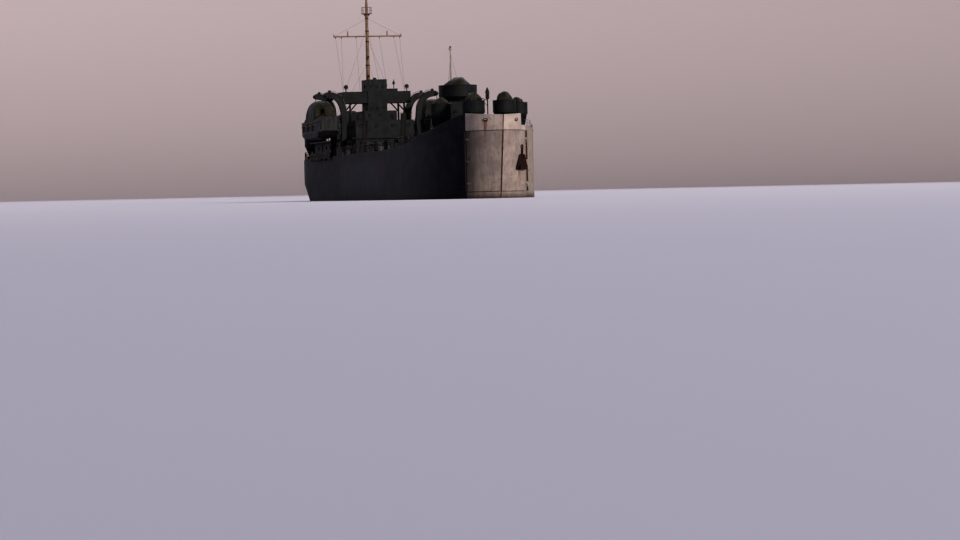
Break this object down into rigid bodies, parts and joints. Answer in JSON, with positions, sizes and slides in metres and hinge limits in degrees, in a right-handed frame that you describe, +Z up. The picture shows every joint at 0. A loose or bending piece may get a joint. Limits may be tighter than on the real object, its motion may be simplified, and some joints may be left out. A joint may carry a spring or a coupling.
{
  "type": "1:10 scale model of a tank landing ship",
  "caption": "Tank landing ship model with opening bow doors, bow ramp, hollow tank deck, boat davits, turning screws and rudders.",
  "frame": {"origin": "on the flat bottom, at mid length on the centreline", "axes": "+X forward to the bow, +Y to port, +Z up"},
  "size_m": [10.0402, 1.844, 2.96],
  "materials": {
    "hull_paint": "weathered haze grey, streaked with rust",
    "bottom_paint": "dull dark red-brown bottom paint",
    "deck_paint": "matt dark deck grey",
    "upper_paint": "matt dark grey",
    "mast_paint": "weathered brown-grey",
    "boat_paint": "matt grey",
    "bare_steel": "rusty dark steel",
    "bronze": "dull bronze",
    "canvas": "dark weathered canvas"
  },
  "bodies": {
    "hull": {"hull_bottom": "bottom_paint", "hull_side_port": "hull_paint", "hull_side_starboard": "hull_paint", "main_deck": "deck_paint", "hull_stern": "hull_paint", "bulwark_port": "hull_paint", "bulwark_starboard": "hull_paint", "fore_tub_port": "upper_paint", "fore_tub_starboard": "upper_paint", "side_tub_port": "upper_paint", "side_tub_starboard": "upper_paint", "quarter_tub_port": "upper_paint", "quarter_tub_starboard": "upper_paint", "centre_tub": "upper_paint", "stern_tub": "upper_paint", "fore_cover_port": "canvas", "fore_cover_starboard": "canvas", "side_cover_port": "canvas", "side_cover_starboard": "canvas", "quarter_cover_port": "canvas", "quarter_cover_starboard": "canvas", "centre_cover": "canvas", "stern_cover": "canvas", "light_mast": "mast_paint", "cargo_hatch": "deck_paint", "deck_vents_port": "upper_paint", "deck_vents_starboard": "upper_paint", "deckhouse_lower": "upper_paint", "deckhouse_upper": "upper_paint", "conning_tower": "upper_paint", "bridge_wings": "upper_paint", "main_mast": "mast_paint", "bow_windlass": "bare_steel", "stern_winch": "bare_steel", "stern_anchor": "bare_steel", "shaft_port": "bottom_paint", "shaft_starboard": "bottom_paint"},
    "door_starboard": {"bow_door_starboard": "hull_paint"},
    "door_port": {"bow_door_port": "hull_paint", "bow_anchor": "bare_steel"},
    "ramp": {"bow_ramp": "bare_steel"},
    "screw_port": {"propeller_port": "bronze"},
    "screw_starboard": {"propeller_starboard": "bronze"},
    "helm_port": {"rudder_port": "bottom_paint"},
    "helm_starboard": {"rudder_starboard": "bottom_paint"},
    "davits_port": {"davit_fore_port": "upper_paint", "davit_aft_port": "upper_paint"},
    "davits_starboard": {"davit_fore_starboard": "upper_paint", "davit_aft_starboard": "upper_paint"},
    "boat_port": {"boat_hull_port": "boat_paint", "boat_cover_port": "canvas", "boat_fall_fore_port": "bare_steel", "boat_fall_aft_port": "bare_steel"},
    "boat_starboard": {"boat_hull_starboard": "boat_paint", "boat_cover_starboard": "canvas", "boat_fall_fore_starboard": "bare_steel", "boat_fall_aft_starboard": "bare_steel"},
    "boat_bow_port": {"boat_ramp_port": "boat_paint"},
    "boat_bow_starboard": {"boat_ramp_starboard": "boat_paint"},
    "radar_head": {"radar": "mast_paint"}
  },
  "joints": [
    {"name": "door_starboard_hinge", "type": "hinge", "parent": "hull", "child": "door_starboard", "pos_m": [4.58, -0.39, 0.53], "axis": [0, 0, -1], "range_deg": [0, 95]},
    {"name": "door_port_hinge", "type": "hinge", "parent": "hull", "child": "door_port", "pos_m": [4.58, 0.39, 0.53], "axis": [0, 0, 1], "range_deg": [0, 95]},
    {"name": "ramp_hinge", "type": "hinge", "parent": "hull", "child": "ramp", "pos_m": [4.37, 0, 0.305], "axis": [0, 1, 0], "range_deg": [0, 100.5]},
    {"name": "screw_port_spin", "type": "hinge", "parent": "hull", "child": "screw_port", "pos_m": [-4.1, 0.3, 0.135], "axis": [1, 0, 0], "continuous": true},
    {"name": "screw_starboard_spin", "type": "hinge", "parent": "hull", "child": "screw_starboard", "pos_m": [-4.1, -0.3, 0.135], "axis": [1, 0, 0], "continuous": true},
    {"name": "rudder_port_turn", "type": "hinge", "parent": "hull", "child": "helm_port", "pos_m": [-4.36, 0.3, 0.15], "axis": [0, 0, 1], "range_deg": [-35, 35]},
    {"name": "rudder_starboard_turn", "type": "hinge", "parent": "hull", "child": "helm_starboard", "pos_m": [-4.36, -0.3, 0.15], "axis": [0, 0, 1], "range_deg": [-35, 35]},
    {"name": "davits_port_swing", "type": "hinge", "parent": "hull", "child": "davits_port", "pos_m": [-2.005, 0.525, 0.815], "axis": [-1, 0, 0], "range_deg": [0, 35]},
    {"name": "davits_starboard_swing", "type": "hinge", "parent": "hull", "child": "davits_starboard", "pos_m": [-2.005, -0.525, 0.815], "axis": [1, 0, 0], "range_deg": [0, 35]},
    {"name": "boat_port_hang", "type": "hinge", "parent": "davits_port", "child": "boat_port", "pos_m": [-2.005, 0.755, 1.585], "axis": [-1, 0, 0], "range_deg": [-35, 0]},
    {"name": "boat_starboard_hang", "type": "hinge", "parent": "davits_starboard", "child": "boat_starboard", "pos_m": [-2.005, -0.755, 1.585], "axis": [1, 0, 0], "range_deg": [-35, 0]},
    {"name": "boat_port_ramp_hinge", "type": "hinge", "parent": "boat_port", "child": "boat_bow_port", "pos_m": [-1.5, 0.755, 1.116], "axis": [0, 1, 0], "range_deg": [0, 90]},
    {"name": "boat_starboard_ramp_hinge", "type": "hinge", "parent": "boat_starboard", "child": "boat_bow_starboard", "pos_m": [-1.5, -0.755, 1.116], "axis": [0, 1, 0], "range_deg": [0, 90]},
    {"name": "radar_spin", "type": "hinge", "parent": "hull", "child": "radar_head", "pos_m": [-2.43, 0, 2.87], "axis": [0, 0, 1], "continuous": true}
  ],
  "couplings": [
    {"joint": "door_port_hinge", "follows": "door_starboard_hinge", "ratio": 1},
    {"joint": "ramp_hinge", "follows": "door_starboard_hinge", "ratio": 1.0526},
    {"joint": "rudder_starboard_turn", "follows": "rudder_port_turn", "ratio": 1},
    {"joint": "boat_port_hang", "follows": "davits_port_swing", "ratio": -1},
    {"joint": "boat_starboard_hang", "follows": "davits_starboard_swing", "ratio": -1}
  ]
}
